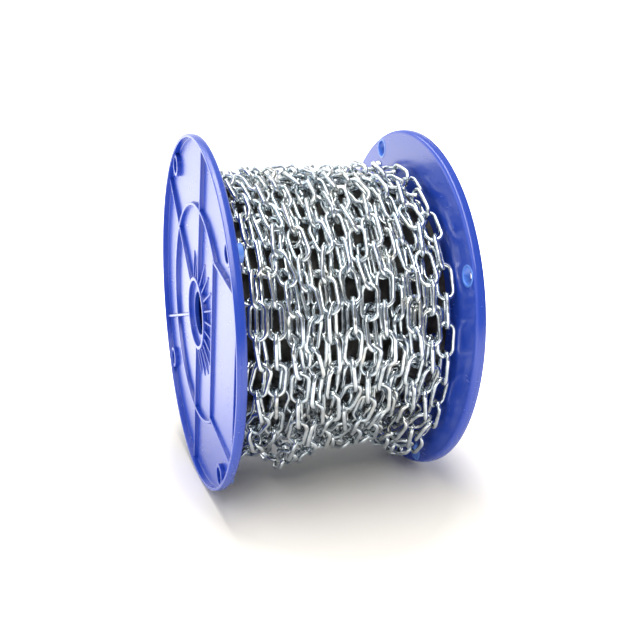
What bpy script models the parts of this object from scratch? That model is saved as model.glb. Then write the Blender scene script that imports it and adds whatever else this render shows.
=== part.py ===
"""A plastic reel wound with welded steel chain, lying on the rims of its two flanges.

The reel's axis runs along X, Z is up, and the origin is on the floor, midway between the flanges.
A flange is modelled with its axis along its own Z: the inner face at Z = 0, the ribbed face above it.
"""

import math

import bmesh
import bpy
from mathutils import Matrix, Vector

MM = 0.001

# The reel.
FLANGE_RADIUS = 140 * MM
REEL_WIDTH = 184 * MM
RIM_WIDTH = 8 * MM
RIM_LIP = 2.8 * MM
RIM_EDGE_ROUND = 3 * MM
WEB_RECESS = 5 * MM
FLANGE_SIDES = 72
GAP = 0.3 * MM

# The ribs of a flange. Angles are seen from outside, counterclockwise from the flange's own X.
RIB_THICKNESS = 2.2 * MM
RIB_DROP = 2 * MM
ROOT = 0.6 * MM
RING_RIB_RADIUS = 86.5 * MM
RADIAL_RIB_ANGLES = (75, 135, 194, 257)
RING_STEP = 6

# The label panel, with its own axis pointing from the hub to the rim.
PANEL_ANGLE = -12
PANEL_INNER = 52 * MM
PANEL_OUTER = 122.5 * MM
PANEL_HALF_WIDTH = 65.5 * MM
PANEL_RISE = 0.8 * MM

# The hub.
BORE_RADIUS = 17 * MM
COLLAR_OUTER_RADIUS = 29 * MM
COLLAR_INNER_RADIUS = 26 * MM
COLLAR_DROP = 1.2 * MM
LEDGE_DEPTH = 3 * MM
FIN_THICKNESS = 1.6 * MM
FIN_REACH = 50 * MM
FIN_ANGLES = tuple(angle for angle in range(-90, 120, 15) if angle != 75)

# The tie bosses.
BOSS_CENTRE_RADIUS = 129.5 * MM
BOSS_RADIUS = 9.3 * MM
BOSS_DROP = 1.6 * MM
BOSS_INSIDE = 4 * MM
TIE_HOLE_RADIUS = 6.5 * MM
FIRST_BOSS_ANGLE = 31
BOSS_SIDES = 20
RIGHT_FLANGE_TURN = 40

# The barrel and the chain wound on it.
BARREL_RADIUS = 45 * MM
BARREL_WALL = 3 * MM
WOUND_RADIUS = 115.5 * MM
CORE_RADIUS = 99 * MM
LINKS_A_TURN = 30
LINK_WIDTH = 15.4 * MM
WIRE = 3.4 * MM
GROOVE_DEPTH = 3 * MM

# How far each turn hangs out under the reel, in millimetres, from the left flange to the right one.
TURN_SAGS = (5, 4, 16, 14, 7, 5, 5, 6, 4, 8, 14, 15)
TURNS = len(TURN_SAGS)

AXIS_HEIGHT = FLANGE_RADIUS * math.cos(math.pi / FLANGE_SIDES)
INNER_WIDTH = REEL_WIDTH - 2 * RIM_WIDTH
WEB_TOP = RIM_WIDTH - WEB_RECESS
RIB_TOP = RIM_WIDTH - RIB_DROP
COLLAR_TOP = RIM_WIDTH - COLLAR_DROP
LIP_RADIUS = FLANGE_RADIUS - RIM_LIP
RIM_BURY = FLANGE_RADIUS - RIM_LIP / 2
COLLAR_BURY = (COLLAR_OUTER_RADIUS + COLLAR_INNER_RADIUS) / 2
WINDING_ROWS = 2 * LINKS_A_TURN

BLUE_PLASTIC = {"colour": (0.03, 0.07, 0.62, 1), "roughness": 0.22, "metallic": 0.0}
BARREL_PLASTIC = {"colour": (0.03, 0.07, 0.62, 1), "roughness": 0.4, "metallic": 0.0}
ZINC = {"colour": (0.75, 0.77, 0.79, 1), "roughness": 0.25, "metallic": 1.0}
DARK_ZINC = {"colour": (0.3, 0.31, 0.33, 1), "roughness": 0.4, "metallic": 1.0}


def clear_scene():
    for obj in list(bpy.data.objects):
        bpy.data.objects.remove(obj, do_unlink=True)


def material(name, look):
    made = bpy.data.materials.new(name)
    made.use_nodes = True
    shader = made.node_tree.nodes["Principled BSDF"]
    shader.inputs["Base Color"].default_value = look["colour"]
    shader.inputs["Roughness"].default_value = look["roughness"]
    shader.inputs["Metallic"].default_value = look["metallic"]
    made.diffuse_color = look["colour"]
    return made


def mesh_from(name, shape):
    """A mesh of the shape's faces, which are all turned to face out."""
    bmesh.ops.recalc_face_normals(shape, faces=shape.faces)
    mesh = bpy.data.meshes.new(name)
    shape.to_mesh(mesh)
    shape.free()
    return mesh


def new_object(name, mesh):
    obj = bpy.data.objects.new(name, mesh)
    bpy.context.collection.objects.link(obj)
    return obj


def polar(radius, degrees):
    return radius * math.cos(math.radians(degrees)), radius * math.sin(math.radians(degrees))


def turned(profile, sides):
    """The closed (radius, height) profile turned round Z, with a flat side at the bottom, -Y."""
    shape = bmesh.new()
    half_side = 180 / sides
    rings = []
    for side in range(sides):
        angle = half_side + side * 2 * half_side
        rings.append([shape.verts.new((*polar(radius, angle), height)) for radius, height in profile])
    count = len(profile)
    for side, ring in enumerate(rings):
        following = rings[(side + 1) % sides]
        for point in range(count):
            after = (point + 1) % count
            shape.faces.new((ring[point], following[point], following[after], ring[after]))
    return shape


def prism(outline, low, high):
    """The flat outline of (x, y) points raised from one height to another."""
    shape = bmesh.new()
    corners = [shape.verts.new((x, y, low)) for x, y in outline]
    face = shape.faces.new(corners)
    raised = bmesh.ops.extrude_face_region(shape, geom=[face])["geom"]
    tops = [item for item in raised if isinstance(item, bmesh.types.BMVert)]
    bmesh.ops.translate(shape, verts=tops, vec=(0, 0, high - low))
    return shape


def turned_points(points, degrees):
    """The (x, y) points turned round the origin."""
    turn = Matrix.Rotation(math.radians(degrees), 2)
    return [tuple(turn @ Vector(point)) for point in points]


def flange_profile():
    """Half the section of a flange: rim, web, collar, ledge and bore, from the bore's inner edge."""
    corner = RIM_EDGE_ROUND * (1 - math.sqrt(0.5))
    return [
        (BORE_RADIUS, 0),
        (FLANGE_RADIUS - RIM_EDGE_ROUND, 0),
        (FLANGE_RADIUS - corner, corner),
        (FLANGE_RADIUS, RIM_EDGE_ROUND),
        (FLANGE_RADIUS, RIM_WIDTH),
        (LIP_RADIUS, RIM_WIDTH),
        (LIP_RADIUS, WEB_TOP),
        (COLLAR_OUTER_RADIUS, WEB_TOP),
        (COLLAR_OUTER_RADIUS, COLLAR_TOP),
        (COLLAR_INNER_RADIUS, COLLAR_TOP),
        (COLLAR_INNER_RADIUS, COLLAR_TOP - LEDGE_DEPTH),
        (BORE_RADIUS, COLLAR_TOP - LEDGE_DEPTH),
    ]


def straight_rib(start, end):
    """A rib that stands on the web between two (x, y) points on its middle line."""
    first, last = Vector(start), Vector(end)
    along = (last - first).normalized()
    across = Vector((-along.y, along.x)) * RIB_THICKNESS / 2
    outline = [first - across, last - across, last + across, first + across]
    return prism(outline, WEB_TOP - ROOT, RIB_TOP)


def radial_ribs():
    for angle in RADIAL_RIB_ANGLES:
        yield straight_rib(polar(COLLAR_BURY, angle), polar(RIM_BURY, angle))


def ring_rib():
    """The ring rib runs round from one side wall of the label panel to the other."""
    meets_panel = math.degrees(math.asin(PANEL_HALF_WIDTH / RING_RIB_RADIUS))
    first = PANEL_ANGLE + meets_panel
    last = PANEL_ANGLE - meets_panel + 360
    steps = round((last - first) / RING_STEP)
    angles = [first + (last - first) * step / steps for step in range(steps + 1)]
    outer = [polar(RING_RIB_RADIUS + RIB_THICKNESS / 2, angle) for angle in angles]
    inner = [polar(RING_RIB_RADIUS - RIB_THICKNESS / 2, angle) for angle in reversed(angles)]
    return prism(outer + inner, WEB_TOP - ROOT, RIB_TOP)


def panel_ribs():
    """The four walls round the label panel."""
    overrun = RIB_THICKNESS / 2
    side_reach = math.sqrt(RIM_BURY**2 - PANEL_HALF_WIDTH**2)
    outer_half = math.sqrt(RIM_BURY**2 - PANEL_OUTER**2)
    lines = [
        ((PANEL_INNER, -PANEL_HALF_WIDTH - overrun), (PANEL_INNER, PANEL_HALF_WIDTH + overrun)),
        ((PANEL_INNER, -PANEL_HALF_WIDTH), (side_reach, -PANEL_HALF_WIDTH)),
        ((PANEL_INNER, PANEL_HALF_WIDTH), (side_reach, PANEL_HALF_WIDTH)),
        ((PANEL_OUTER, -outer_half), (PANEL_OUTER, outer_half)),
    ]
    for line in lines:
        yield straight_rib(*turned_points(line, PANEL_ANGLE))


def panel_face():
    """The raised face of the label panel, which runs into the walls round it and into the rim."""
    reach = math.degrees(math.asin(PANEL_HALF_WIDTH / RIM_BURY))
    steps = round(2 * reach / RING_STEP)
    arc = [polar(RIM_BURY, -reach + 2 * reach * step / steps) for step in range(steps + 1)]
    outline = [(PANEL_INNER, -PANEL_HALF_WIDTH), *arc, (PANEL_INNER, PANEL_HALF_WIDTH)]
    return prism(turned_points(outline, PANEL_ANGLE), WEB_TOP - ROOT, WEB_TOP + PANEL_RISE)


def fin(angle):
    """A fin that slopes from the top of the collar down to the web."""
    foot, top = WEB_TOP - ROOT, COLLAR_TOP - ROOT
    section = [(COLLAR_BURY, foot), (FIN_REACH, foot), (FIN_REACH, WEB_TOP + ROOT), (COLLAR_BURY, top)]
    shape = bmesh.new()
    sides = []
    for offset in (-FIN_THICKNESS / 2, FIN_THICKNESS / 2):
        sides.append(shape.faces.new([shape.verts.new((x, offset, z)) for x, z in section]))
    bmesh.ops.bridge_loops(shape, edges=[edge for side in sides for edge in side.edges])
    bmesh.ops.rotate(shape, verts=shape.verts, matrix=Matrix.Rotation(math.radians(angle), 3, "Z"))
    return shape


def round_post(angle, radius, low, high):
    """An upright cylinder centred on a tie boss."""
    x, y = polar(BOSS_CENTRE_RADIUS, angle)
    outline = []
    for side in range(BOSS_SIDES):
        across, up = polar(radius, side * 360 / BOSS_SIDES)
        outline.append((x + across, y + up))
    return prism(outline, low, high)


def boss_angles():
    return [FIRST_BOSS_ANGLE + quarter * 90 for quarter in range(4)]


def flange_additions():
    yield from radial_ribs()
    yield ring_rib()
    yield from panel_ribs()
    yield panel_face()
    for angle in FIN_ANGLES:
        yield fin(angle)
    for angle in boss_angles():
        yield round_post(angle, BOSS_RADIUS, -BOSS_INSIDE, RIM_WIDTH - BOSS_DROP)


def tie_holes():
    for angle in boss_angles():
        yield round_post(angle, TIE_HOLE_RADIUS, -2 * BOSS_INSIDE, 2 * RIM_WIDTH)


def combine(obj, shapes, operation):
    """Adds the shapes to the object, or cuts them from it, and returns it with the result applied."""
    tools = bpy.data.collections.new(operation)
    for number, shape in enumerate(shapes):
        tool = bpy.data.objects.new(f"{operation}_{number}", mesh_from(operation, shape))
        tool.hide_render = True
        tool.display_type = "WIRE"
        tools.objects.link(tool)
    boolean = obj.modifiers.new(operation, "BOOLEAN")
    boolean.operation = operation
    boolean.operand_type = "COLLECTION"
    boolean.collection = tools
    boolean.solver = "EXACT"
    bpy.context.scene.collection.children.link(tools)
    graph = bpy.context.evaluated_depsgraph_get()
    result = bpy.data.meshes.new_from_object(obj.evaluated_get(graph))
    obj.modifiers.clear()
    obj.data = result
    for tool in list(tools.objects):
        bpy.data.objects.remove(tool, do_unlink=True)
    bpy.data.collections.remove(tools)
    return obj


def flange_mesh():
    maker = new_object("flange", mesh_from("flange", turned(flange_profile(), FLANGE_SIDES)))
    combine(maker, flange_additions(), "UNION")
    combine(maker, tie_holes(), "DIFFERENCE")
    mesh = maker.data
    bpy.data.objects.remove(maker, do_unlink=True)
    mesh.shade_smooth()
    mesh.set_sharp_from_angle(angle=math.radians(30))
    return mesh


def reel_axis():
    """An empty on the reel's axis, which carries the whole reel."""
    axis = new_object("reel_axis", None)
    axis.location = (0, 0, AXIS_HEIGHT)
    return axis


def flanges(axis, plastic):
    mesh = flange_mesh()
    mesh.materials.clear()
    mesh.materials.append(plastic)
    for name, side, turn in (("flange_left", -1, 0), ("flange_right", 1, RIGHT_FLANGE_TURN)):
        flange = new_object(name, mesh)
        outward = Matrix(((0, 0, side), (side, 0, 0), (0, 1, 0)))
        spin = Matrix.Rotation(math.radians(turn), 3, "Z")
        flange.rotation_euler = (outward @ spin).to_euler()
        flange.location = (side * INNER_WIDTH / 2, 0, 0)
        flange.parent = axis


def lay_along_axis(obj, axis):
    """Turns a piece whose own Z is the reel's axis, so that its Z points along +X."""
    obj.rotation_euler = Matrix(((0, 0, 1), (1, 0, 0), (0, 1, 0))).to_euler()
    obj.parent = axis


def tube(name, inner, outer, half_length, sides, look, axis):
    profile = [(inner, -half_length), (outer, -half_length), (outer, half_length), (inner, half_length)]
    mesh = mesh_from(name, turned(profile, sides))
    mesh.shade_smooth()
    mesh.set_sharp_from_angle(angle=math.radians(30))
    mesh.materials.append(look)
    lay_along_axis(new_object(name, mesh), axis)


def link_relief(turn, link, across):
    """How far a point of a turn lies under the wound radius. across runs from -0.5 to 0.5 of the turn."""
    crest_of_upright = 0.0
    middle_of_wire = LINK_WIDTH / 2
    top_of_flat = middle_of_wire - WIRE / 2
    if abs(across) == 0.5:
        return middle_of_wire + GROOVE_DEPTH
    if link % 1:
        return middle_of_wire - WIRE if across == 0 else middle_of_wire
    lies_flat = (int(link) + turn) % 2 == 0
    if lies_flat:
        return top_of_flat
    return crest_of_upright if across == 0 else middle_of_wire


def wound_radius(turn, degrees):
    """The radius that a turn's upright links reach: it hangs lower under the reel."""
    downward = max(0.0, -math.sin(math.radians(degrees)))
    return WOUND_RADIUS + TURN_SAGS[turn] * MM * downward**2


def outer_layer(look, axis):
    """The outermost turns of chain as one sleeve: ridges for the turns, with each link's gap cut in."""
    name = "chain_outer_layer"
    half_length = INNER_WIDTH / 2 - BOSS_INSIDE - GAP
    width = 2 * half_length / TURNS
    columns = [(turn, across) for turn in range(TURNS) for across in (-0.5, -0.25, 0, 0.25)]
    columns.append((TURNS - 1, 0.5))
    shape = bmesh.new()
    rings = []
    for row in range(WINDING_ROWS):
        degrees = (row + 0.5) * 360 / WINDING_ROWS
        ring = [shape.verts.new((*polar(CORE_RADIUS + GAP, degrees), -half_length))]
        for turn, across in columns:
            radius = wound_radius(turn, degrees) - link_relief(turn, row / 2, across)
            height = -half_length + (turn + 0.5 + across) * width
            ring.append(shape.verts.new((*polar(radius, degrees), height)))
        ring.append(shape.verts.new((*polar(CORE_RADIUS + GAP, degrees), half_length)))
        rings.append(ring)
    count = len(rings[0])
    for row, ring in enumerate(rings):
        following = rings[(row + 1) % WINDING_ROWS]
        for point in range(count):
            after = (point + 1) % count
            shape.faces.new((ring[point], following[point], following[after], ring[after]))
    mesh = mesh_from(name, shape)
    mesh.materials.append(look)
    lay_along_axis(new_object(name, mesh), axis)


def build():
    clear_scene()
    axis = reel_axis()
    flanges(axis, material("blue_plastic", BLUE_PLASTIC))
    half_inside = INNER_WIDTH / 2 - GAP
    barrel_bore = BARREL_RADIUS - BARREL_WALL
    barrel_look = material("barrel_plastic", BARREL_PLASTIC)
    tube("barrel", barrel_bore, BARREL_RADIUS, half_inside, FLANGE_SIDES, barrel_look, axis)
    core_look = material("inner_chain", DARK_ZINC)
    core_bore = BARREL_RADIUS + GAP
    tube("chain_inner_layers", core_bore, CORE_RADIUS, half_inside, WINDING_ROWS, core_look, axis)
    outer_layer(material("zinc_chain", ZINC), axis)


build()
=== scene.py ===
"""A blue plastic reel wound with bright welded steel chain, lying on the rims of its two flanges.

The reel's axis runs along X, Z is up and the floor is Z = 0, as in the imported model. Sizes are in metres.
A flange is built round its own Z: the inner face at Z = 0, the ribbed face above it. Its angles are seen
from outside. Angles round the winding start at the front, -Y, and rise upward.
"""

from __future__ import annotations

import logging
import math
from collections.abc import Iterator, Sequence
from dataclasses import dataclass, field
from enum import Enum
from itertools import pairwise

import bmesh
import bpy
import numpy as np
from mathutils import Matrix, Vector


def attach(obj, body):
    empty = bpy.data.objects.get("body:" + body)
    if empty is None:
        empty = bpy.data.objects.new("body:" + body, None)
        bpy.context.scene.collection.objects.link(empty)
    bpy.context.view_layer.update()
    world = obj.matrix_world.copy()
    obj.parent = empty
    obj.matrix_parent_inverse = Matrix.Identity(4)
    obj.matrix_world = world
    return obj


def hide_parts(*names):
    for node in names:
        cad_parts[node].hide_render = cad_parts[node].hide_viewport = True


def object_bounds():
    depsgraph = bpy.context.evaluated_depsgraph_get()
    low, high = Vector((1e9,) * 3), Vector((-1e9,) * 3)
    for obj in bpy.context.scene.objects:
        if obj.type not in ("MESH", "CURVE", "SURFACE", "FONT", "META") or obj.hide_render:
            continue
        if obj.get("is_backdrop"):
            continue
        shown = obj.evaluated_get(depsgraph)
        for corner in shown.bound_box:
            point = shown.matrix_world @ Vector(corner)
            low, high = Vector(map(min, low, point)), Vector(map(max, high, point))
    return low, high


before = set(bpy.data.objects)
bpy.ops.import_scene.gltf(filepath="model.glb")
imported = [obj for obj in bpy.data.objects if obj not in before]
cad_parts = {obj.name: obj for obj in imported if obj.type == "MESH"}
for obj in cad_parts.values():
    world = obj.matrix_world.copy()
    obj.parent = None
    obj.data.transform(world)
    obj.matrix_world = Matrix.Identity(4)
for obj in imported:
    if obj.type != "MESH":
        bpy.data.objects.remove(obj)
cad_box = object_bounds()

log = logging.getLogger("reel")

MM = 0.001
TINY = 1e-12
BODY = "root"
SHARP_DEGREES = 40
MIX_COLOURS = (6, 7)
MIX_RESULT = 2

Point2 = tuple[float, float]
Point3 = tuple[float, float, float]
Colour = tuple[float, float, float, float]
Array = np.ndarray
Arrays = tuple[Array, Array]
Object = bpy.types.Object
Mesh = bpy.types.Mesh
Material = bpy.types.Material
Tree = bpy.types.NodeTree


class Slot(Enum):
    """The record's material slots."""

    PLASTIC = "blue_plastic"
    CHAIN = "zinc_chain"


class Side(Enum):
    """Which end of the reel a flange stands at, as its sign along X."""

    LEFT = -1
    RIGHT = 1


@dataclass(frozen=True)
class Signal:
    """One output socket of a node tree, which takes part in arithmetic on values."""

    tree: Tree
    socket: bpy.types.NodeSocket

    def maths(self, operation: str, *values: Signal | float) -> Signal:
        """The result of a Math node with this operation on the values, in order."""
        return node(self.tree, "ShaderNodeMath", dict(enumerate(values)), operation=operation)

    def __add__(self, other: Signal | float) -> Signal:
        """Self + other."""
        return self.maths("ADD", self, other)

    def __sub__(self, other: Signal | float) -> Signal:
        """Self - other."""
        return self.maths("SUBTRACT", self, other)

    def __rsub__(self, other: float) -> Signal:
        """Number - self."""
        return self.maths("SUBTRACT", other, self)

    def __mul__(self, other: Signal | float) -> Signal:
        """Self * other."""
        return self.maths("MULTIPLY", self, other)

    __radd__ = __add__
    __rmul__ = __mul__

    def between(self, low: float, high: float) -> Signal:
        """0 where the value is low or less, 1 where it is high or more, and straight between."""
        share = (self - low) * (1 / (high - low))
        return self.maths("MINIMUM", self.maths("MAXIMUM", share, 0.0), 1.0)


def node(
    tree: Tree,
    kind: str,
    sockets: dict[str | int, Signal | float | Sequence[float]] | None = None,
    output: str | int = 0,
    **settings: str,
) -> Signal:
    """Adds a node to the tree.

    Args:
        tree: the tree that it goes into.
        kind: the node's type.
        sockets: a value or a signal for each named or numbered input.
        output: the output that is returned.
        settings: the node's own settings, which are set before its sockets.

    Returns:
        The chosen output.
    """
    made = tree.nodes.new(kind)
    for name, value in settings.items():
        setattr(made, name, value)
    for name, value in (sockets or {}).items():
        if isinstance(value, Signal):
            tree.links.new(value.socket, made.inputs[name])
        else:
            made.inputs[name].default_value = value
    return Signal(tree, made.outputs[output])


def end_tree(tree: Tree, kind: str, surface: Signal) -> None:
    """Ends the tree in its output node."""
    tree.links.new(surface.socket, tree.nodes.new(kind).inputs["Surface"])


class Finish:
    """A named procedural material on the Principled shader, with the maths that the finishes share."""

    def __init__(self, name: str) -> None:
        """Starts an empty material.

        Args:
            name: the material's name.
        """
        self.material = bpy.data.materials.new(name)
        self.material.use_nodes = True
        self.tree = self.material.node_tree
        self.tree.nodes.clear()
        self.place = node(self.tree, "ShaderNodeTexCoord", output="Object")

    def stretched(self, stretch: Point3) -> Signal:
        """The place, stretched along X, Y and Z."""
        return node(self.tree, "ShaderNodeVectorMath", {0: self.place, 1: stretch}, operation="MULTIPLY")

    def noise(self, scale: float, detail: float = 2, stretch: Point3 = (1, 1, 1)) -> Signal:
        """Noise from 0 to 1, with so many waves to a metre, finer layers and a stretch along X, Y and Z."""
        sockets = {"Vector": self.stretched(stretch), "Scale": scale, "Detail": detail}
        return node(self.tree, "ShaderNodeTexNoise", sockets)

    def along(self, axis: str) -> Signal:
        """The place along one axis of the piece, in metres."""
        return node(self.tree, "ShaderNodeSeparateXYZ", {0: self.place}, axis)

    def mix(self, share: Signal, first: Colour | Signal, second: Colour | Signal) -> Signal:
        """A colour between the first and the second, by the share of the second."""
        sockets = {"Factor": share, MIX_COLOURS[0]: first, MIX_COLOURS[1]: second}
        return node(self.tree, "ShaderNodeMix", sockets, MIX_RESULT, data_type="RGBA")

    def bump(self, height: Signal, distance: float, strength: float = 1.0) -> Signal:
        """A surface normal from a height between 0 and 1 that stands for the distance."""
        sockets = {"Height": height, "Distance": distance, "Strength": strength}
        return node(self.tree, "ShaderNodeBump", sockets)

    def surface(self, sockets: dict[str, Signal | float | Sequence[float]]) -> Material:
        """Ends the material in a Principled shader with these sockets."""
        shader = node(self.tree, "ShaderNodeBsdfPrincipled", sockets)
        end_tree(self.tree, "ShaderNodeOutputMaterial", shader)
        return self.material


@dataclass(frozen=True)
class BluePlastic:
    """Glossy injection-moulded plastic with faint flow marks and the light scuffs of handling."""

    name: str = "glossy_blue_plastic"
    deep: Colour = (0.013, 0.054, 0.43, 1)
    worn: Colour = (0.022, 0.072, 0.49, 1)
    roughness: float = 0.24
    scuffed_roughness: float = 0.29
    refraction: float = 1.65
    flow_waves: float = 14
    patch_waves: float = 30
    scuff_waves: float = 420
    grain_waves: float = 1500
    scuff_stretch: Point3 = (1, 0.25, 1)
    scuffed: Point2 = (0.56, 0.75)
    patched: Point2 = (0.42, 0.7)
    flowed: Point2 = (0.35, 0.8)
    relief: float = 0.05 * MM

    def material(self) -> Material:
        """The plastic's material."""
        finish = Finish(self.name)
        flow = finish.noise(self.flow_waves, 3)
        scuffs = finish.noise(self.scuff_waves, 4, self.scuff_stretch).between(*self.scuffed)
        patches = finish.noise(self.patch_waves, 2).between(*self.patched)
        wear = scuffs * patches
        grain = finish.noise(self.grain_waves, 2)
        return finish.surface(
            {
                "Base Color": finish.mix(flow.between(*self.flowed) * 0.5 + wear * 0.5, self.deep, self.worn),
                "Roughness": self.roughness + wear * (self.scuffed_roughness - self.roughness) + flow * 0.03,
                "IOR": self.refraction,
                "Normal": finish.bump(flow * 0.15 + grain * 0.2, self.relief, 0.5),
            }
        )


# A lighter copy of the blue plastic for the inner ends of the tie bosses: painted light, standing in for the
# light that shines through thin plastic into the tie holes.
LIT_THIN_PLASTIC = BluePlastic("thin_blue_plastic_painted_light", (0.07, 0.2, 0.72, 1), (0.16, 0.36, 0.85, 1))


@dataclass(frozen=True)
class ZincPlate:
    """Bright zinc plating on drawn wire: cool and clean, with duller patches and fine drawing lines."""

    name: str = "bright_zinc"
    bright: Colour = (0.72, 0.78, 0.82, 1)
    dull: Colour = (0.4, 0.46, 0.52, 1)
    warm: Colour = (0.8, 0.74, 0.63, 1)
    roughness: float = 0.06
    dull_roughness: float = 0.17
    dull_waves: float = 130
    warm_waves: float = 47
    pit_waves: float = 1900
    dulled: Point2 = (0.48, 0.72)
    warmed: Point2 = (0.5, 0.75)
    pit_depth: float = 0.06 * MM

    def material(self) -> Material:
        """The plated wire's material."""
        finish = Finish(self.name)
        dull = finish.noise(self.dull_waves, 4).between(*self.dulled)
        warm = finish.noise(self.warm_waves, 2).between(*self.warmed)
        pits = finish.noise(self.pit_waves, 3)
        colour = finish.mix(dull, finish.mix(warm * 0.5, self.bright, self.warm), self.dull)
        return finish.surface(
            {
                "Base Color": colour,
                "Metallic": 1.0,
                "Roughness": self.roughness + dull * (self.dull_roughness - self.roughness) + pits * 0.03,
                "Normal": finish.bump(pits, self.pit_depth, 0.6),
            }
        )


@dataclass(frozen=True)
class BuriedChain:
    """The deep turns of chain, which hardly any light reaches but the floor's, from below. Their colour is
    painted shade, near-black between the links and dark on the metal, with painted light from the floor on
    the lowest part.
    """

    name: str = "buried_chain_painted_shade"
    # Painted shade: near-black between the links and dark metal. lit_metal is painted light low down.
    gap_shadow: Colour = (0.004, 0.003, 0.0025, 1)
    shaded_metal: Colour = (0.03, 0.027, 0.024, 1)
    lit_metal: Colour = (0.26, 0.27, 0.28, 1)
    lit_heights: Point2 = (0.13, 0.08)
    lumped: Point2 = (0.45, 0.65)
    lump_waves: float = 95
    lump_height: float = 2 * MM

    def material(self) -> Material:
        """The buried turns' material, with painted shade and a painted light from below."""
        finish = Finish(self.name)
        lumps = finish.noise(self.lump_waves, 3)
        # Painted light: the metal turns lighter towards the bottom, as if the floor's light reached it there.
        painted_light_share = finish.along("Z").between(*self.lit_heights)
        shaded_metal = finish.mix(painted_light_share, self.shaded_metal, self.lit_metal)
        return finish.surface(
            {
                # Painted shade: the lumps set near-black shade between the links against the dark metal.
                "Base Color": finish.mix(lumps.between(*self.lumped), self.gap_shadow, shaded_metal),
                "Roughness": 0.45 + lumps * 0.2,
                "Normal": finish.bump(lumps, self.lump_height),
            }
        )


@dataclass(frozen=True)
class PaleFloor:
    """The white paper on the studio floor. Away from the reel it glows with painted light, strongest behind
    the reel and none in the shade under it. Well in front it turns grey, a painted shade for the dimmer floor
    there.
    """

    name: str = "white_floor_painted_glow"
    paper: Colour = (0.88, 0.86, 0.825, 1)
    # Painted shade: the floor in front of the paper's edge is grey, standing in for the dimmer floor there.
    beyond: Colour = (0.2, 0.2, 0.2, 1)
    paper_edge: Point2 = (-0.95, -0.6)
    narrow: Point3 = (1.6, 1, 1)
    painted_glow_reach: Point2 = (0.17, 0.36)
    painted_glow_depths: Point2 = (0, 0.6)
    front_glow_share: float = 0.42
    glow: float = 1.9

    def material(self) -> Material:
        """The floor's material, with its painted glow and its grey front."""
        finish = Finish(self.name)
        depth = finish.along("Y")
        share = depth.between(*self.paper_edge)
        spot = finish.stretched(self.narrow)
        # Painted light: the paper glows, from nothing in the reel's shade to full well away from it, and more
        # behind the reel than in front.
        away = node(finish.tree, "ShaderNodeVectorMath", {0: spot}, "Value", operation="LENGTH")
        level = self.front_glow_share + depth.between(*self.painted_glow_depths) * (1 - self.front_glow_share)
        painted_light_share = away.between(*self.painted_glow_reach) * level * share
        glow = finish.mix(painted_light_share, (0, 0, 0, 1), (1, 1, 1, 1))
        return finish.surface(
            {
                # Painted shade: beyond the paper's edge in front the floor is grey, so the chain's wires
                # reflect a dimmer floor there.
                "Base Color": finish.mix(share, self.beyond, self.paper),
                "Roughness": 0.9,
                "Emission Color": glow,
                "Emission Strength": self.glow,
            }
        )


def polar(radius: float, degrees: float) -> Point2:
    """The (x, y) point at this radius and angle."""
    return radius * math.cos(math.radians(degrees)), radius * math.sin(math.radians(degrees))


def turned_points(points: Sequence[Point2], degrees: float) -> list[Point2]:
    """The (x, y) points turned round the origin."""
    turn = Matrix.Rotation(math.radians(degrees), 2)
    return [tuple(turn @ Vector(point)) for point in points]


def filleted(corners: Sequence[tuple[float, float, float]], steps: int = 4) -> list[Point2]:
    """A closed outline with its corners rounded.

    Args:
        corners: (x, y, radius of the rounding) for each corner.
        steps: how many straight pieces a rounding has.

    Returns:
        The outline's points.
    """
    outline = []
    for number, (x, y, radius) in enumerate(corners):
        corner = Vector((x, y))
        if radius == 0:
            outline.append((x, y))
            continue
        before = Vector(corners[number - 1][:2]) - corner
        after = Vector(corners[(number + 1) % len(corners)][:2]) - corner
        half = before.angle(after) / 2
        centre = corner + (before.normalized() + after.normalized()).normalized() * radius / math.sin(half)
        first = corner + before.normalized() * radius / math.tan(half) - centre
        last = corner + after.normalized() * radius / math.tan(half) - centre
        sweep = first.angle_signed(last)
        for step in range(steps + 1):
            outline.append(tuple(centre + Matrix.Rotation(-sweep * step / steps, 2) @ first))
    return outline


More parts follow.
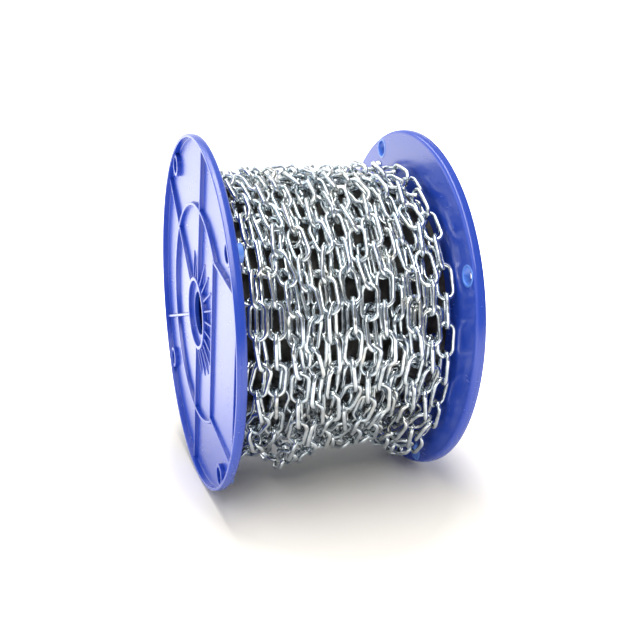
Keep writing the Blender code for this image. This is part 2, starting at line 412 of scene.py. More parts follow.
class Casting:
    """A mesh that is put together from turned, swept and raised pieces."""

    def __init__(self) -> None:
        """Starts with no faces."""
        self.shape = bmesh.new()

    def skin(self, rings: Sequence[Sequence[Sequence[float]]], closed: bool) -> None:
        """Joins rings of points into a skin.

        Args:
            rings: the rings, with the same number of points each.
            closed: whether the last ring joins the first. If not, the ends are capped.
        """
        made = [[self.shape.verts.new(point) for point in ring] for ring in rings]
        count = len(made[0])
        for ring, following in pairwise(made + made[:1] if closed else made):
            for point in range(count):
                after = (point + 1) % count
                self.shape.faces.new((ring[point], following[point], following[after], ring[after]))
        if not closed:
            self.shape.faces.new(made[0])
            self.shape.faces.new(reversed(made[-1]))

    def turn(self, profile: Sequence[Point2], sides: int, centre: Point2 = (0, 0)) -> None:
        """Turns a profile round an upright axis.

        Args:
            profile: the closed outline, as (radius, height) points.
            sides: how many sides the turned piece has.
            centre: where the axis stands.
        """
        rings = []
        for side in range(sides):
            cos, sin = polar(1, side * 360 / sides)
            rings.append([(centre[0] + radius * cos, centre[1] + radius * sin, z) for radius, z in profile])
        self.skin(rings, closed=True)

    def sweep(self, path: Sequence[Point2], sections: Sequence[Sequence[Point2]]) -> None:
        """Sweeps upright sections along a flat path.

        Args:
            path: the (x, y) points that the wall's middle follows.
            sections: the closed (across, height) section at each point.
        """
        rings = []
        for number, (point, section) in enumerate(zip(path, sections, strict=True)):
            before = Vector(path[max(number - 1, 0)])
            after = Vector(path[min(number + 1, len(path) - 1)])
            along = (after - before).normalized()
            rings.append([(point[0] - along.y * a, point[1] + along.x * a, z) for a, z in section])
        self.skin(rings, closed=False)

    def raise_outline(self, outline: Sequence[Point2], low: float, high: float) -> None:
        """Raises a flat outline from one height to another."""
        self.skin([[(x, y, z) for x, y in outline] for z in (low, high)], closed=False)

    def mesh(self, name: str) -> Mesh:
        """Ends the casting.

        Args:
            name: the mesh's name.

        Returns:
            The finished mesh, with its faces turned out.
        """
        bmesh.ops.recalc_face_normals(self.shape, faces=self.shape.faces)
        made = bpy.data.meshes.new(name)
        self.shape.to_mesh(made)
        self.shape.free()
        return made


def add_object(name: str, data: bpy.types.ID) -> Object:
    """Adds an object with this data to the scene."""
    made = bpy.data.objects.new(name, data)
    bpy.context.scene.collection.objects.link(made)
    return made


def show(name: str, mesh: Mesh, material: Material) -> Object:
    """Puts a mesh in the scene as a piece with this material."""
    mesh.materials.clear()
    mesh.materials.append(material)
    return add_object(name, mesh)


def soften(piece: Object) -> None:
    """Shades a piece smooth over its roundings and leaves its flats flat.

    Args:
        piece: the piece.
    """
    piece.data.shade_smooth()
    piece.data.set_sharp_from_angle(angle=math.radians(SHARP_DEGREES))
    even = piece.modifiers.new("even_shading", "WEIGHTED_NORMAL")
    even.keep_sharp = True


def settle_in(piece: Object, slot: Slot, *nodes: str) -> None:
    """Makes the piece a part of the reel.

    Args:
        piece: the piece, which rides on the reel's body.
        slot: not used.
        nodes: the nodes that it stands for.
    """
    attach(piece, BODY)
    if nodes:
        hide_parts(*nodes)
    log.info("%s: %d faces", piece.name, len(piece.data.polygons))


@dataclass
class Reel:
    """The sizes that the flanges, the barrel and the winding share."""

    outer_radius: float = 140 * MM * math.cos(math.pi / 72)
    width: float = 184 * MM
    rim_width: float = 8 * MM
    core_radius: float = 92.5 * MM

    @property
    def inner_half(self) -> float:
        """From the middle of the reel to a flange's inner face."""
        return self.width / 2 - self.rim_width

    @property
    def axis_height(self) -> float:
        """The height of the reel's axis above the floor."""
        return self.outer_radius


@dataclass(frozen=True)
class Tube:
    """A short tube at a tie boss: its radii, and the heights of its ends over the flange's inner face."""

    outer: float
    inner: float
    low: float
    high: float


@dataclass
class Flange:
    """One moulded flange: rim, web, ribs, label panel, hub collar, fins and tie bosses.

    turns and boss_ends hold the left flange's value and then the right one's.
    """

    reel: Reel
    sides: int = 240
    lip: float = 2.8 * MM
    edge_round: float = 3 * MM
    web_recess: float = 5 * MM
    parting: float = 0.6
    parting_half: float = 0.15 * MM
    parting_depth: float = 0.12 * MM
    draft: float = 0.3 * MM
    edge: float = 0.7 * MM
    bore_edge: float = 0.6 * MM
    bore_radius: float = 17 * MM
    collar_outer: float = 29 * MM
    collar_inner: float = 26 * MM
    collar_drop: float = 1.2 * MM
    ledge_depth: float = 3 * MM
    rib_thickness: float = 2.2 * MM
    rib_drop: float = 2 * MM
    wall_draft: float = 0.12 * MM
    wall_round: float = 0.55 * MM
    root: float = 0.7 * MM
    ring_radius: float = 86.5 * MM
    ring_steps: int = 130
    rib_angles: tuple[float, ...] = (75, 135, 194, 257)
    panel_angle: float = -12
    panel_inner: float = 52 * MM
    panel_outer: float = 122.5 * MM
    panel_half_width: float = 65.5 * MM
    panel_rise: float = 0.8 * MM
    panel_steps: int = 40
    fin_thickness: float = 1.6 * MM
    fin_reach: float = 50 * MM
    fin_angles: tuple[float, ...] = tuple(angle for angle in range(-90, 120, 15) if angle != 75)
    boss_centre: float = 129.5 * MM
    boss: Tube = Tube(9.3 * MM, 6.5 * MM, 0.3 * MM, 6.4 * MM)
    boss_ends: tuple[Tube, Tube] = (
        Tube(6.9 * MM, 5.2 * MM, -4 * MM, 0.8 * MM),
        Tube(8.4 * MM, 6.4 * MM, -0.3 * MM, 5.8 * MM),
    )
    drill_radius: float = 6.8 * MM
    boss_sides: int = 48
    tube_edge: float = 0.5 * MM
    first_boss: float = 31
    turns: Point2 = (0, 40)

    @property
    def web_top(self) -> float:
        """The height of the web's outer face over the inner face."""
        return self.reel.rim_width - self.web_recess

    @property
    def collar_top(self) -> float:
        """The height of the hub collar."""
        return self.reel.rim_width - self.collar_drop

    @property
    def rim_bury(self) -> float:
        """The radius in the middle of the rim's wall, where the ribs end."""
        return self.reel.outer_radius - self.lip / 2

    def profile(self) -> list[Point2]:
        """The section of the rim, web, collar and bore."""
        radius, width = self.reel.outer_radius, self.reel.rim_width
        parting = width * self.parting
        lip_radius = radius - self.lip
        ledge = self.collar_top - self.ledge_depth
        return filleted(
            [
                (self.bore_radius, 0, self.bore_edge),
                (radius - self.draft, 0, self.edge_round),
                (radius, parting - self.parting_half, 0),
                (radius - self.parting_depth, parting, 0),
                (radius, parting + self.parting_half, 0),
                (radius - self.draft, width, self.edge),
                (lip_radius, width, self.edge),
                (lip_radius - 0.1 * MM, self.web_top, self.root),
                (self.collar_outer + 0.2 * MM, self.web_top, self.root),
                (self.collar_outer, self.collar_top, self.edge),
                (self.collar_inner, self.collar_top, self.edge),
                (self.collar_inner, ledge, 0.4 * MM),
                (self.bore_radius, ledge, self.bore_edge),
            ]
        )

    def wall_section(self, thickness: float, top: float) -> list[Point2]:
        """The section of a rib: a root that flares into the web, slightly drafted sides and a round top.

        Args:
            thickness: the rib's thickness at the top.
            top: the height of its top over the flange's inner face.

        Returns:
            The closed outline, as (across, height) points.
        """
        half, foot, draft = thickness / 2, self.web_top, self.wall_draft
        shoulder = foot + min(self.root, (top - foot) / 3)
        flare = half + draft + self.root * 0.6
        right = [
            (half, top, self.wall_round),
            (half + draft, shoulder, 0),
            (flare, foot, 0),
            (flare, foot - self.root, 0),
        ]
        left = [(-across, up, rounding) for across, up, rounding in reversed(right)]
        return filleted(left + right, steps=3)

    def straight_walls(self) -> Iterator[tuple[Point2, Point2]]:
        """The ends of each straight rib, which are the radial ones and the panel's four walls."""
        hub_bury = (self.collar_outer + self.collar_inner) / 2
        for angle in self.rib_angles:
            yield polar(hub_bury, angle), polar(self.rim_bury, angle)
        half = self.panel_half_width
        overrun = half + self.rib_thickness / 2
        reach = math.sqrt(self.rim_bury**2 - half**2)
        outer_half = math.sqrt((self.rim_bury - self.root) ** 2 - self.panel_outer**2)
        for start, end in (
            ((self.panel_inner, -overrun), (self.panel_inner, overrun)),
            ((self.panel_inner, -half), (reach, -half)),
            ((self.panel_inner, half), (reach, half)),
            ((self.panel_outer, -outer_half), (self.panel_outer, outer_half)),
        ):
            yield tuple(turned_points((start, end), self.panel_angle))

    def ring_path(self) -> list[Point2]:
        """The ring rib's middle line, from one side wall of the label panel round to the other."""
        meets_panel = math.degrees(math.asin(self.panel_half_width / self.ring_radius))
        start, end = self.panel_angle + meets_panel, self.panel_angle - meets_panel + 360
        return [polar(self.ring_radius, angle) for angle in np.linspace(start, end, self.ring_steps)]

    def panel_outline(self) -> list[Point2]:
        """The outline of the label panel's raised face, which runs into the walls round it and the rim."""
        reach = math.degrees(math.asin(self.panel_half_width / self.rim_bury))
        arc = [polar(self.rim_bury, angle) for angle in np.linspace(-reach, reach, self.panel_steps)]
        ends = (self.panel_inner, -self.panel_half_width), (self.panel_inner, self.panel_half_width)
        return turned_points([ends[0], *arc, ends[1]], self.panel_angle)

    def add_fins(self, casting: Casting) -> None:
        """Adds the fins, which slope from the top of the collar down to the web.

        Args:
            casting: what they are added to.
        """
        heights = (self.collar_top - 0.6 * MM, self.web_top + 0.5 * MM)
        sections = [self.wall_section(self.fin_thickness, top) for top in heights]
        start = (self.collar_outer + self.collar_inner) / 2
        for angle in self.fin_angles:
            casting.sweep([polar(start, angle), polar(self.fin_reach, angle)], sections)

    def boss_places(self) -> list[Point2]:
        """The centres of the four tie bosses."""
        return [polar(self.boss_centre, self.first_boss + quarter * 90) for quarter in range(4)]

    def add_tubes(self, casting: Casting, tube: Tube) -> None:
        """Adds a tube at each of the four tie bosses.

        Args:
            casting: what they are added to.
            tube: the tube's sizes.
        """
        inner, outer, low, high = tube.inner, tube.outer, tube.low, tube.high
        edge = min(self.tube_edge, (high - low) / 3)
        section = filleted([(inner, low, edge), (outer, low, edge), (outer, high, edge), (inner, high, edge)])
        for centre in self.boss_places():
            casting.turn(section, self.boss_sides, centre)

    def ends_mesh(self, tube: Tube) -> Mesh:
        """The inner ends of the four tie bosses."""
        casting = Casting()
        self.add_tubes(casting, tube)
        return casting.mesh("boss_ends")

    def body_mesh(self) -> Mesh:
        """The turned body with the four tie holes cut through its web."""
        body, drill = Casting(), Casting()
        body.turn(self.profile(), self.sides)
        for x, y in self.boss_places():
            rim = [polar(self.drill_radius, step * 360 / self.boss_sides) for step in range(self.boss_sides)]
            drill.raise_outline([(x + a, y + b) for a, b in rim], -1 * MM, 2 * self.reel.rim_width)
        block = add_object("flange_body", body.mesh("flange_body"))
        tool = add_object("hole_drill", drill.mesh("hole_drill"))
        cut = block.modifiers.new("tie_holes", "BOOLEAN")
        cut.operation = "DIFFERENCE"
        cut.solver = "EXACT"
        cut.object = tool
        graph = bpy.context.evaluated_depsgraph_get()
        result = bpy.data.meshes.new_from_object(block.evaluated_get(graph))
        for helper in (block, tool):
            bpy.data.objects.remove(helper, do_unlink=True)
        return result

    def mesh(self) -> Mesh:
        """The whole flange round its own Z."""
        casting = Casting()
        casting.shape.from_mesh(self.body_mesh())
        section = self.wall_section(self.rib_thickness, self.reel.rim_width - self.rib_drop)
        for start, end in self.straight_walls():
            casting.sweep([start, end], [section, section])
        ring = self.ring_path()
        casting.sweep(ring, [section] * len(ring))
        casting.raise_outline(self.panel_outline(), self.web_top - self.root, self.web_top + self.panel_rise)
        self.add_fins(casting)
        self.add_tubes(casting, self.boss)
        return casting.mesh("flange")

    def build(self, plastic: Material, lit_thin_plastic: Material) -> None:
        """Makes both flanges and stands them at the ends of the reel.

        Args:
            plastic: the material of the flanges.
            lit_thin_plastic: the material of the inner ends of their bosses, a lighter copy of the plastic
                whose lightness is painted light in the tie holes.
        """
        mesh = self.mesh()
        for side, turn, boss_end in zip(Side, self.turns, self.boss_ends, strict=True):
            sign = side.value
            outward = Matrix(((0, 0, sign), (sign, 0, 0), (0, 1, 0))).to_4x4()
            spin = Matrix.Rotation(math.radians(turn), 4, "Z")
            move = Matrix.Translation((sign * self.reel.inner_half, 0, self.reel.axis_height))
            name = side.name.lower()
            parts = (
                (f"moulded_flange_{name}", mesh.copy(), plastic),
                (f"boss_ends_{name}", self.ends_mesh(boss_end), lit_thin_plastic),
            )
            for title, shape, finish in parts:
                shape.transform(move @ outward @ spin)
                piece = show(title, shape, finish)
                soften(piece)
                settle_in(piece, Slot.PLASTIC, f"flange_{name}")


def lengths(vectors: Array) -> Array:
    """The length of each vector."""
    return np.linalg.norm(vectors, axis=-1)


def unit(vectors: Array) -> Array:
    """Each vector at length 1."""
    return vectors / np.maximum(lengths(vectors), TINY)[..., None]


@dataclass(frozen=True)
class LinkSize:
    """One welded link of round wire."""

    length: float = 29.6 * MM
    width: float = 15.4 * MM
    wire: float = 3.4 * MM
    weld_swell: float = 0.1
    weld_reach: float = 1.5 * MM
    weld_places: tuple[float, ...] = tuple(place * MM for place in (-4.5, -2.4, -1.2, 0, 1.2, 2.4, 4.5))
    end_steps: int = 9
    wire_sides: int = 10

    @property
    def pitch(self) -> float:
        """From the middle of a link to the middle of the next one when the chain is taut."""
        return self.length - 2 * self.wire

    def middle_line(self, steps: int, on_side: Sequence[float] = ()) -> Array:
        """The middle of the wire all the way round.

        Args:
            steps: how many straight pieces each round end has.
            on_side: the places along the welded side that get a point of their own.

        Returns:
            The points, in the link's own axes: along it, across it and out of its plane.
        """
        half_straight, bend = (self.length - self.width) / 2, (self.width - self.wire) / 2
        angles = np.linspace(-np.pi / 2, np.pi / 2, steps + 1)
        reach = half_straight + bend * np.cos(angles)
        end = np.stack([reach, bend * np.sin(angles), np.zeros_like(angles)], axis=1)
        side = np.array([(-place, bend, 0) for place in on_side]).reshape(-1, 3)
        return np.concatenate([end, side, end * (-1, -1, 1)])

    def surface(self) -> Arrays:
        """The link's skin.

        Returns:
            The points, and the quads as rows of four point numbers.
        """
        line = self.middle_line(self.end_steps, self.weld_places)
        along = unit(np.roll(line, -1, axis=0) - np.roll(line, 1, axis=0))
        outward = np.cross(along, (0, 0, 1))
        swell = 1 + self.weld_swell * np.exp(-((line[:, 0] / self.weld_reach) ** 2)) * (line[:, 1] > 0)
        points = []
        for side in range(self.wire_sides):
            cos, sin = polar(self.wire / 2, side * 360 / self.wire_sides)
            points.append(line + swell[:, None] * (outward * cos + np.array((0, 0, sin))))
        grid = np.arange(self.wire_sides * len(line)).reshape(self.wire_sides, len(line))
        right, up = np.roll(grid, -1, axis=0), np.roll(grid, -1, axis=1)
        quads = np.stack([grid, up, np.roll(right, -1, axis=1), right], axis=-1)
        return np.concatenate(points), quads.reshape(-1, 4)


@dataclass(frozen=True)
class Strand:
    """One visible turn of the top layer, where it passes the front of the reel.

    Its places along X are in millimetres, high on the front, at its middle and low on it. flat_at is the
    angle at which a link lies flat, roll turns that link about the chain, sag is how far the turn hangs
    out at the bottom and sunk how far it lies under its neighbours, both in millimetres.
    """

    high: float
    middle: float
    low: float
    flat_at: float
    roll: float = 0
    sag: float = 5
    sunk: float = 0


@dataclass
class Winding:
    """The route of the one chain: a layer of close turns, then the looser top layer over it."""

    reel: Reel
    link: LinkSize
    strands: tuple[Strand, ...] = (
        Strand(-66, -68, -64, 9, 35, 1),
        Strand(-57, -54, -51, 9, 20, 2, 5),
        Strand(-48, -41.5, -33, 4.5, 25, 12),
        Strand(-34, -28, -21, 14, 45, 10),
        Strand(-15, -14, -9, 17, 45, 3),
        Strand(-1.5, 2.5, 4, 20, 10, 1),
        Strand(11, 16.5, 17, 13, 35, 1),
        Strand(28, 28, 30, 18, 45, 2),
        Strand(38, 39, 41, 12, 45, 1, 6),
        Strand(45, 50.5, 54, 7, 0, 4),
        Strand(61, 64, 67, 1, 20, 12),
        Strand(73, 76.5, 76.5, 19.5, 0, 16),
    )
    view_angles: Point3 = (52, 6, -42)
    steps: int = 240
    smoothing: int = 9
    climb_turn: float = 120
    slack: float = 0.99
    under_turns: int = 12
    under_radius: float = 99.5 * MM
    top_radius: float = 109 * MM
    bottom_drop: float = 5 * MM
    flange_gap: float = 8 * MM
    crossing: float = 60
    roll_drift: float = 7
    roll_spread: float = 5
    seed: int = 11

    @property
    def top_start(self) -> float:
        """The turn angle at which the top layer starts, at the back of the reel."""
        return self.under_turns * 360

    def under_route(self) -> Array:
        """The close layer's route, from the right flange to the left, as (turn angle, X, radius) rows."""
        turned = np.linspace(0, self.top_start - self.crossing, self.under_turns * self.steps)
        reach = self.reel.inner_half - self.flange_gap
        across = np.interp(turned, (0, turned[-1]), (reach, -reach))
        radius = self.under_radius + self.bottom_drop * self.hang(turned)
        return np.stack([turned, across, radius], axis=1)

    @staticmethod
    def hang(turned: Array) -> Array:
        """How far round to the underside each turn angle is, from 0 at the front to 1 at the bottom."""
        return np.maximum(0, -np.sin(np.radians(180 - turned))) ** 2

    def top_route(self) -> Array:
        """The top layer's route, from the left flange to the right, as (turn angle, X, radius) rows."""
        count = len(self.strands)
        knots = [number * 360 + 180 - angle for number in range(count) for angle in self.view_angles]
        places = np.ravel([(strand.high, strand.middle, strand.low) for strand in self.strands]) * MM
        sunk = np.repeat([strand.sunk for strand in self.strands], len(self.view_angles)) * MM
        sags = np.array([strand.sag for strand in self.strands]) * MM
        turned = np.linspace(0, count * 360, count * self.steps)
        kernel = np.hanning(self.steps // self.smoothing)
        half = len(kernel) // 2
        padded = np.pad(np.interp(turned, knots, places), half, mode="edge")
        across = np.convolve(padded, kernel / kernel.sum(), "same")[half:-half]
        sag = sags[np.minimum((turned // 360).astype(int), count - 1)]
        climb = np.clip(turned / self.climb_turn, 0, 1)
        radius = self.under_radius + (self.top_radius - self.under_radius) * climb
        radius += (self.bottom_drop + sag) * self.hang(turned) - np.interp(turned, knots, sunk)
        return np.stack([turned + self.top_start, across, radius], axis=1)

    def route(self) -> Array:
        """The whole route as (turn angle, X, radius) rows."""
        under, top = self.under_route(), self.top_route()
        steps = round(self.steps * self.crossing / 360)
        between = np.linspace(under[-1], top[0], steps, endpoint=False)[1:]
        return np.concatenate([under, between, top])

    @staticmethod
    def places(route: Array) -> Array:
        """The points round the reel's axis of (turn angle, X, radius) rows. The angle runs down the front."""
        angle = np.radians(180 - route[:, 0])
        return np.stack([route[:, 1], -route[:, 2] * np.cos(angle), route[:, 2] * np.sin(angle)], axis=1)

    def links(self) -> Arrays:
        """Lays links along the route.

        Returns:
            The links' middles and their rolls in degrees.
        """
        route = self.route()
        points = self.places(route)
        run = np.concatenate([[0], np.cumsum(lengths(np.diff(points, axis=0)))])
        flats = [number * 360 + 180 - strand.flat_at for number, strand in enumerate(self.strands)]
        stops = np.interp(np.add(flats, self.top_start), route[:, 0], run)
        spacing = self.link.pitch * self.slack
        chance = np.random.default_rng(self.seed)
        first = np.arange(stops[0], 0, -spacing)[::-1]
        drift = np.cumsum(chance.normal(0, self.roll_drift, len(first)))[::-1]
        along = [first]
        rolls = [90 * (np.arange(len(first)) - len(first) + 1) + self.strands[0].roll + drift]
        for (strand, following), (start, end) in zip(pairwise(self.strands), pairwise(stops), strict=True):
            count = math.ceil((end - start) / spacing)
            share = np.arange(1, count + 1) / count
            left_over = (following.roll - strand.roll - 90 * count + 90) % 180 - 90
            ease = np.clip((share - 0.25) / 0.5, 0, 1)
            along.append(start + (end - start) * share)
            rolls.append(strand.roll + 90 * np.arange(1, count + 1) + left_over * ease)
        last = np.arange(stops[-1] + spacing, run[-1], spacing)
        along.append(last)
        rolls.append(self.strands[-1].roll + 90 * np.arange(1, len(last) + 1))
        where = np.concatenate(along)
        middles = np.stack([np.interp(where, run, points[:, axis]) for axis in range(3)], axis=1)
        return middles, np.concatenate(rolls) + chance.normal(0, self.roll_spread, len(where))

    @staticmethod
    def frames(middles: Array, rolls: Array) -> Array:
        """Turns each link along the chain.

        Args:
            middles: the links' middles.
            rolls: the links' rolls. A link with no roll lies flat on the winding.

        Returns:
            A matrix for each link, whose columns point along it, across it and out of its plane.
        """
        along = unit(np.gradient(middles, axis=0))
        out = middles * (0, 1, 1)
        out = unit(out - (out * along).sum(1)[:, None] * along)
        level = np.cross(out, along)
        roll = np.radians(rolls)[:, None]
        across = np.cos(roll) * level + np.sin(roll) * out
        return np.stack([along, across, np.cross(along, across)], axis=2)


def small_turns(turns: Array) -> Array:
    """Makes small turns into matrices.

    Args:
        turns: each turn's axis times its angle.

    Returns:
        A rotation matrix for each turn.
    """
    angle, axis = lengths(turns), unit(turns)
    cross = np.zeros((len(turns), 3, 3))
    cross[:, 0, 1], cross[:, 0, 2], cross[:, 1, 2] = -axis[:, 2], axis[:, 1], -axis[:, 0]
    cross -= cross.transpose(0, 2, 1)
    sin, cos = np.sin(angle)[:, None, None], np.cos(angle)[:, None, None]
    return np.eye(3) + sin * cross + (1 - cos) * (cross @ cross)


@dataclass
class Settling:
    """Settles rigid links, so that they touch and hang together without passing through each other.

    Each round finds where links overlap, where joints have come apart and where the core or a flange is
    crossed, and moves and turns the links a little to undo it. In the first rounds they are also drawn
    back to their route and in toward the axis. turn_arms sets how easily a link turns about its axes.
    """

    reel: Reel
    link: LinkSize
    middles: Array
    frames: Array
    rounds: int = 260
    joint_slack: float = 0.4 * MM
    pull: float = 0.03
    tighten: float = 0.05 * MM
    line_stretch: float = 1.01
    touch_share: float = 0.985
    turn_arms: Point3 = (6 * MM, 9.5 * MM, 11 * MM)
    near_share: float = 1.06
    near_gap: float = 2 * MM
    pair_gap: float = 2.5 * MM
    damping: float = 0.55
    turn_limit: float = 0.25
    pulled_share: float = 0.7
    search_every: int = 8
    boss_height: float = 4.3 * MM
    boss_reach: float = 118 * MM
    rim_margin: float = 1 * MM
    least_push: float = 1e-6

    def __post_init__(self) -> None:
        """Sets up the link's line and the store for each round's moves."""
        line = self.link.middle_line(4)
        line[:, :2] *= self.line_stretch
        self.line = line
        self.next_point = np.roll(np.arange(len(line)), -1)
        self.wanted = self.middles.copy()
        self.ease = 1 / np.array(self.turn_arms) ** 2
        self.reach = self.link.wire * self.touch_share
        self.moves = np.zeros_like(self.middles)
        self.turns = np.zeros_like(self.middles)
        self.counts = np.zeros(len(self.middles))
        self.pairs = np.empty((0, 4), int)
        self.place_lines()

    def place_lines(self) -> None:
        """Places the points of every link's line, as links by points by three."""
        self.points = self.middles[:, None] + self.line @ self.frames.transpose(0, 2, 1)

    def find_pairs(self) -> None:
        """Finds the pieces of wire that may touch, as rows of the two links and the two pieces."""
        apart = ((self.middles[:, None] - self.middles[None]) ** 2).sum(-1)
        first, second = np.nonzero(np.triu(apart < (self.link.length * self.near_share) ** 2, 1))
        ends = self.points[:, self.next_point]
        centres = (self.points + ends) / 2
        half = lengths(ends - self.points)[0] / 2
        gaps = lengths(centres[first][:, :, None] - centres[second][:, None])
        near = gaps < half[None, :, None] + half[None, None, :] + self.reach + self.near_gap
        pair, one, other = np.nonzero(near)
        self.pairs = np.stack([first[pair], second[pair], one, other], axis=1)
        one, other = self.closest()
        self.pairs = self.pairs[lengths(one - other) < self.reach + self.pair_gap]

    def closest(self) -> Arrays:
        """The nearest points of each pair of pieces of wire.

        Returns:
            The nearest point on the first piece and on the second, for each pair.
        """
        first, second, one, other = self.pairs.T
        start, begin = self.points[first, one], self.points[second, other]
        run = self.points[first, self.next_point[one]] - start
        way = self.points[second, self.next_point[other]] - begin
        between = start - begin
        a, e, b = (run * run).sum(1), (way * way).sum(1), (run * way).sum(1)
        c, f = (run * between).sum(1), (way * between).sum(1)
        spread = a * e - b * b
        slanted = spread > 1e-6 * a * e
        s = np.clip(np.where(slanted, (b * f - c * e) / np.where(slanted, spread, 1), 0.5), 0, 1)
        free = (b * s + f) / e
        t = np.clip(free, 0, 1)
        s = np.where(free != t, np.clip((b * t - c) / a, 0, 1), s)
        return start + run * s[:, None], begin + way * t[:, None]

    def response(self, links: Array, at: Array, way: Array) -> Arrays:
        """How links answer a push.

        Args:
            links: the links that are pushed.
            at: where each is pushed.
            way: the direction of each push.

        Returns:
            The turn of each link for a unit push, and how far the pushed point gives.
        """
        twist = np.cross(at - self.middles[links], way)
        own = np.einsum("nij,ni->nj", self.frames[links], twist) * self.ease
        turn = np.einsum("nij,nj->ni", self.frames[links], own)
        return turn, 1 + (twist * turn).sum(1)

    def push(self, links: Array, way: Array, turn: Array, amount: Array) -> None:
        """Adds pushes to this round's moves and turns.

        Args:
            links: the links that are pushed.
            way: the direction of each push.
            turn: the turn of each link for a unit push.
            amount: how far each push moves its link.
        """
        np.add.at(self.moves, links, way * amount[:, None])
        np.add.at(self.turns, links, turn * amount[:, None])
        np.add.at(self.counts, links, 1)

    def part(self, links: Arrays, at: Arrays, amount: Array) -> None:
        """Moves two points of two links along the line between them.

        Args:
            links: the first and the second link of each pair.
            at: the two points.
            amount: how far apart they are moved. A negative amount draws them together.
        """
        way = unit(at[0] - at[1])
        first_turn, first_give = self.response(links[0], at[0], way)
        second_turn, second_give = self.response(links[1], at[1], -way)
        share = amount / (first_give + second_give)
        self.push(links[0], way, first_turn, share)
        self.push(links[1], -way, second_turn, share)

    def part_overlaps(self) -> float:
        """Parts the pieces of wire that overlap, and returns the depth of the deepest overlap."""
        one, other = self.closest()
        depth = self.reach - lengths(one - other)
        hit = depth > 0
        self.part(tuple(self.pairs[hit, :2].T), (one[hit], other[hit]), depth[hit])
        return float(depth[hit].max(initial=0))

    def hold_joints(self) -> None:
        """Draws each link's end to the end of the next."""
        half = self.link.pitch / 2
        one = self.middles[:-1] + self.frames[:-1, :, 0] * half
        other = self.middles[1:] - self.frames[1:, :, 0] * half
        loose = np.minimum(self.joint_slack - lengths(one - other), 0)
        order = np.arange(len(self.middles))
        self.part((order[:-1], order[1:]), (one, other), loose)

    def keep_inside(self) -> None:
        """Pushes links out of the core, the flanges and their bosses, and back from the rims' height."""
        points = self.points
        radius = lengths(points[:, :, 1:])
        half_wire = self.link.wire / 2
        need = np.zeros_like(points)
        lift = np.maximum(self.reel.core_radius + half_wire - radius, 0)
        lift += np.minimum(self.reel.outer_radius - half_wire - self.rim_margin - radius, 0)
        need[:, :, 1:] = points[:, :, 1:] / radius[:, :, None] * lift[:, :, None]
        boss = self.boss_height * (radius > self.boss_reach)
        beyond = np.maximum(np.abs(points[:, :, 0]) - (self.reel.inner_half - half_wire - boss), 0)
        need[:, :, 0] = -np.sign(points[:, :, 0]) * beyond
        length = lengths(need)
        links, places = np.nonzero(length > self.least_push)
        amount = length[links, places]
        way = need[links, places] / amount[:, None]
        turn, give = self.response(links, points[links, places], way)
        self.push(links, way, turn, amount / give)

    def apply(self) -> None:
        """Moves and turns the links by this round's pushes, and clears them."""
        share = 1 / np.maximum(self.counts * self.damping, 1)
        self.middles = self.middles + self.moves * share[:, None]
        turns = self.turns * share[:, None]
        turns *= np.minimum(1, self.turn_limit / np.maximum(lengths(turns), TINY))[:, None]
        self.frames = small_turns(turns) @ self.frames
        self.moves[:] = 0
        self.turns[:] = 0
        self.counts[:] = 0

    def run(self) -> None:
        """Settles the links."""
        deepest = 0.0
        for number in range(self.rounds):
            self.place_lines()
            if number % self.search_every == 0:
                left, _, right = np.linalg.svd(self.frames)
                self.frames = left @ right
                self.find_pairs()
            deepest = self.part_overlaps()
            self.hold_joints()
            self.keep_inside()
            self.apply()
            if number < self.rounds * self.pulled_share:
                self.middles += (self.wanted - self.middles) * self.pull
                out = self.middles * (0, 1, 1)
                self.middles -= unit(out) * self.tighten
        log.info("chain settled: deepest overlap %.2f mm", deepest / MM)


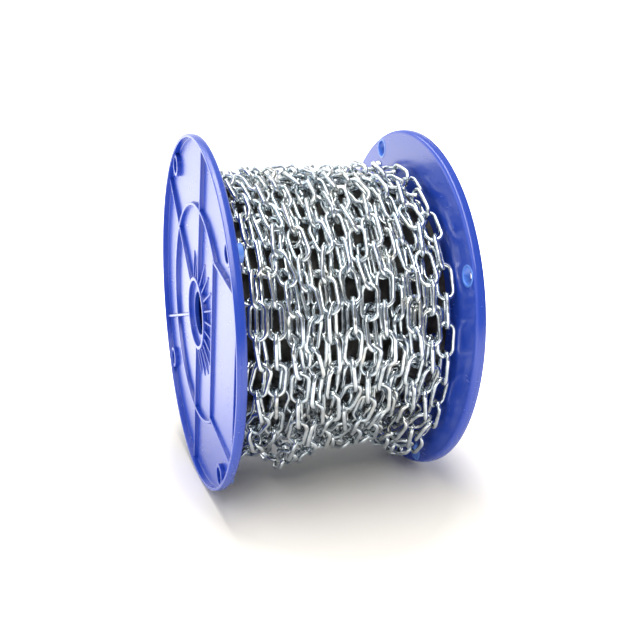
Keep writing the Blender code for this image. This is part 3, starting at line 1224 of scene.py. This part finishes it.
@dataclass
class Chain:
    """The wound chain, link by link, and the plain core under it."""

    reel: Reel
    link: LinkSize = field(default_factory=LinkSize)
    pieces: int = 4
    core_bore: float = 45.3 * MM
    core_gap: float = 0.3 * MM
    core_sides: int = 120

    def settled(self) -> Arrays:
        """The links' middles and frames round the reel's axis."""
        winding = Winding(self.reel, self.link)
        middles, rolls = winding.links()
        frames = winding.frames(middles, rolls)
        log.info("chain: %d links", len(middles))
        settling = Settling(self.reel, self.link, middles, frames)
        settling.run()
        return settling.middles, settling.frames

    def links_mesh(self, name: str, middles: Array, frames: Array) -> Mesh:
        """One mesh of many links.

        Args:
            name: the mesh's name.
            middles: the links' middles.
            frames: the links' axes.

        Returns:
            The mesh, in the reel's place.
        """
        points, quads = self.link.surface()
        lifted = middles + (0, 0, self.reel.axis_height)
        places = (lifted[:, None] + points @ frames.transpose(0, 2, 1)).reshape(-1, 3)
        faces = (quads[None] + np.arange(len(middles))[:, None, None] * len(points)).reshape(-1, 4)
        mesh = bpy.data.meshes.new(name)
        mesh.from_pydata(places, [], faces)
        mesh.shade_smooth()
        return mesh

    def add_core(self, material: Material) -> None:
        """Makes the plain core under the links.

        Args:
            material: the core's material.
        """
        core = Casting()
        half = self.reel.inner_half - self.core_gap
        outer, inner = self.reel.core_radius, self.core_bore
        core.turn([(inner, -half), (outer, -half), (outer, half), (inner, half)], self.core_sides)
        mesh = core.mesh("chain_core")
        lift = Matrix.Translation((0, 0, self.reel.axis_height))
        mesh.transform(lift @ Matrix.Rotation(math.pi / 2, 4, "Y"))
        piece = show("chain_core", mesh, material)
        soften(piece)
        settle_in(piece, Slot.CHAIN, "chain_inner_layers")

    def build(self, zinc: Material, buried: Material) -> None:
        """Makes the links and the core.

        Args:
            zinc: the material of the links.
            buried: the material of the core, painted with the shade of the buried turns.
        """
        middles, frames = self.settled()
        bounds = np.linspace(0, len(middles), self.pieces + 1).astype(int)
        for number, (first, last) in enumerate(pairwise(bounds), start=1):
            name = f"chain_run_{number}"
            piece = show(name, self.links_mesh(name, middles[first:last], frames[first:last]), zinc)
            settle_in(piece, Slot.CHAIN, "chain_outer_layer")
        self.add_core(buried)


@dataclass(frozen=True)
class Softbox:
    """A softbox that the camera doesn't see: its width and height, and its power in watts."""

    name: str
    place: Point3
    size: Point2
    power: float


@dataclass
class Studio:
    """The pale floor, the soft light and the camera."""

    reel: Reel
    floor_size: float = 30.0
    camera_place: Point3 = (-0.23458, -0.72431, 0.31889)
    camera_look: Point3 = (0.31436, 0.91733, -0.24429)
    focal_pixels: float = 951.09
    image_pixels: float = 640
    sensor: float = 36.0
    lamp_colour: Point3 = (1, 0.965, 0.9)
    softboxes: tuple[Softbox, ...] = (
        Softbox("back_softbox", (-0.1, 0.55, 1.25), (0.26, 0.9), 4.5),
        Softbox("top_softbox", (-0.1, -0.45, 1.1), (0.26, 1.5), 12),
    )
    room: float = 0.3
    back_wall: float = 0.25
    low_back_wall: float = 1.3
    left_wall: float = 1.1
    back_depths: Point2 = (-0.2, 0.45)
    left_reach: Point2 = (-0.3, -0.95)
    low_heights: Point2 = (0.5, 0.12)

    def add_floor(self) -> None:
        """Lays the white floor, which glows with painted light away from the reel."""
        half = self.floor_size / 2
        mesh = bpy.data.meshes.new("studio_floor")
        corners = [(-half, -half, 0), (half, -half, 0), (half, half, 0), (-half, half, 0)]
        mesh.from_pydata(corners, [], [(0, 1, 2, 3)])
        show("studio_floor", mesh, PaleFloor().material())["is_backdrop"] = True

    def add_softbox(self, box: Softbox) -> None:
        """Hangs a softbox that faces the reel's middle.

        Args:
            box: the softbox.
        """
        light = bpy.data.lights.new(box.name, "AREA")
        light.shape = "RECTANGLE"
        light.size, light.size_y = box.size
        light.energy = box.power
        light.color = self.lamp_colour
        lamp = add_object(box.name, light)
        lamp.location = box.place
        faced = Vector((0, 0, self.reel.axis_height)) - Vector(box.place)
        lamp.rotation_euler = faced.to_track_quat("-Z", "Y").to_euler()
        lamp.visible_camera = False

    def add_world(self) -> None:
        """Surrounds the scene with a dim room: a white wall low behind the reel, a grey one to the left."""
        world = bpy.data.worlds.new("studio")
        world.use_nodes = True
        tree = world.node_tree
        tree.nodes.clear()
        way = node(tree, "ShaderNodeTexCoord", output="Generated")
        across, depth, height = (node(tree, "ShaderNodeSeparateXYZ", {0: way}, axis) for axis in "XYZ")
        behind, left = depth.between(*self.back_depths), across.between(*self.left_reach)
        low = height.between(*self.low_heights)
        strength = self.room + behind * (self.back_wall + low * self.low_back_wall) + left * self.left_wall
        glow = node(tree, "ShaderNodeBackground", {"Color": (1, 1, 1, 1), "Strength": strength})
        end_tree(tree, "ShaderNodeOutputWorld", glow)
        bpy.context.scene.world = world

    def add_camera(self) -> None:
        """Stands the camera where the photo was taken from."""
        data = bpy.data.cameras.new("camera")
        data.sensor_width = self.sensor
        data.lens = self.focal_pixels / self.image_pixels * self.sensor
        data.clip_start, data.clip_end = 0.01, 100
        camera = add_object("camera", data)
        camera.location = self.camera_place
        camera.rotation_euler = Vector(self.camera_look).to_track_quat("-Z", "Y").to_euler()
        bpy.context.scene.camera = camera

    def build(self) -> None:
        """Sets up the studio."""
        bpy.context.scene.view_settings.view_transform = "Standard"
        self.add_camera()
        self.add_floor()
        self.add_world()
        for box in self.softboxes:
            self.add_softbox(box)
        log.info("studio: floor, light and camera")


def write_sizes() -> None:
    """Gathers the CAD box and the visual model's box as plain lists."""
    boxes = {"cad": cad_box, "visual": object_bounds()}
    plain = {name: [list(corner) for corner in box] for name, box in boxes.items()}


def main() -> None:
    """Builds the studio and the reel."""
    logging.basicConfig(level=logging.INFO, format="%(message)s")
    reel = Reel()
    Studio(reel).build()
    plastic = BluePlastic().material()
    Flange(reel).build(plastic, LIT_THIN_PLASTIC.material())
    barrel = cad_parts["barrel"]
    barrel.data.materials.clear()
    barrel.data.materials.append(plastic)
    log.info("barrel: %d faces", len(barrel.data.polygons))
    Chain(reel).build(ZincPlate().material(), BuriedChain().material())
    write_sizes()


if __name__ == "__main__":
    main()
